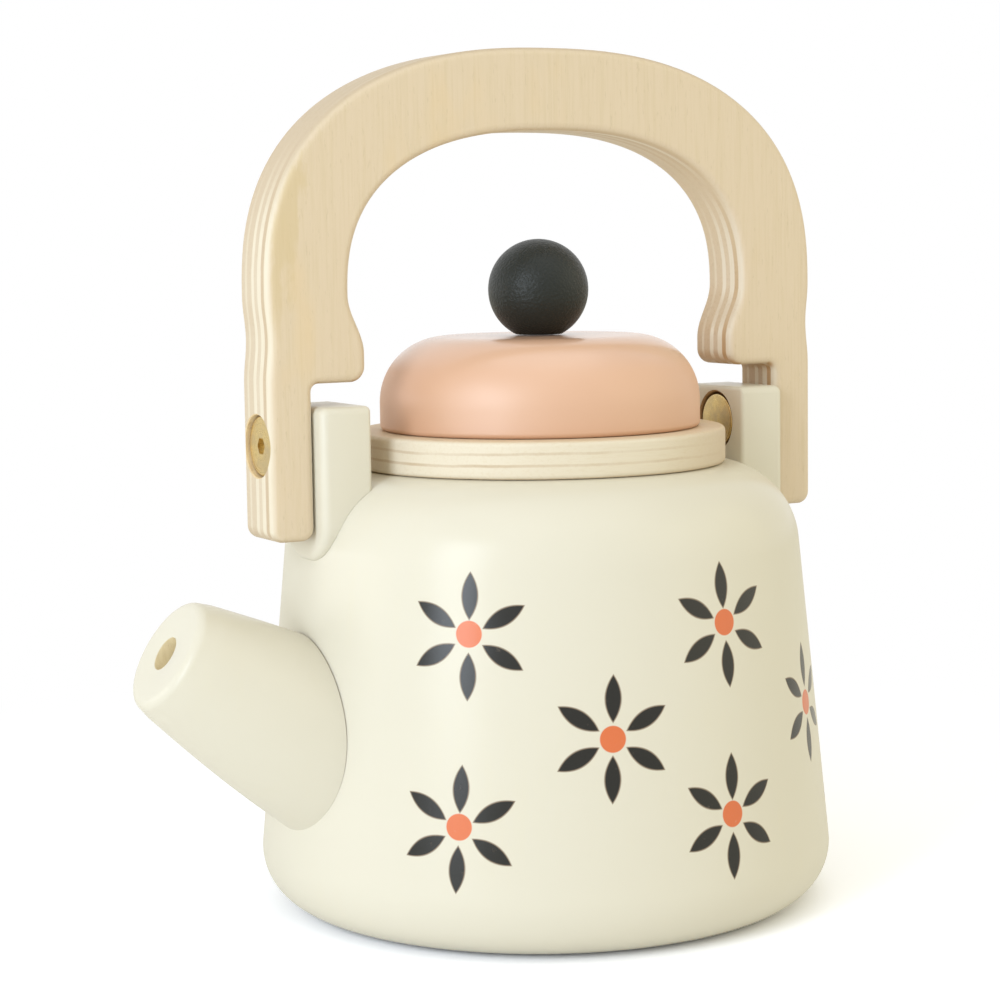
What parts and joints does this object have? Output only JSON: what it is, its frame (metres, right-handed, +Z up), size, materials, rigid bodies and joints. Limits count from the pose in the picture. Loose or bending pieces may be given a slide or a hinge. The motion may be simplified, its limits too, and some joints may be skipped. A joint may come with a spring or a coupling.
{
  "type": "wooden toy kettle",
  "caption": "Turned wooden play kettle with a coped spout, a plywood handle that swings on bolted lugs and a lift-off lid with a ball knob.",
  "frame": {"origin": "centre of the base, on the surface the kettle stands on", "axes": "+Z up along the body's turning axis, -X towards the spout, the handle's pivot line along X"},
  "size_m": [0.1477, 0.1146, 0.169],
  "materials": {
    "cream_paint": "satin cream paint on turned hardwood",
    "peach_paint": "satin peach paint on turned hardwood",
    "charcoal_paint": "satin charcoal paint on a turned ball",
    "birch_ply": "clear matt lacquer on birch plywood",
    "beech": "bare dowel",
    "brass": "satin brass plating"
  },
  "bodies": {
    "kettle": {"kettle_body": "cream_paint", "rim_ring": "birch_ply", "spout": "cream_paint", "spout_dowel": "beech", "front_lug": "cream_paint", "front_lug_pin_1": "beech", "front_lug_pin_2": "beech", "rear_lug": "cream_paint", "rear_lug_pin_1": "beech", "rear_lug_pin_2": "beech", "front_sleeve_nut": "brass", "rear_sleeve_nut": "brass", "front_pivot_bolt": "brass", "rear_pivot_bolt": "brass"},
    "handle": {"handle": "birch_ply"},
    "lid": {"lid": "peach_paint", "lid_locating_disc": "birch_ply", "lid_knob": "charcoal_paint", "knob_dowel": "beech"}
  },
  "joints": [
    {"name": "handle_swing", "type": "hinge", "parent": "kettle", "child": "handle", "pos_m": [0, 0, 0.0937], "axis": [1, 0, 0], "range_deg": [-95, 95]},
    {"name": "lid_lift", "type": "slide", "parent": "kettle", "child": "lid", "axis": [0, 0, 1], "range_m": [0, 0.02]}
  ]
}
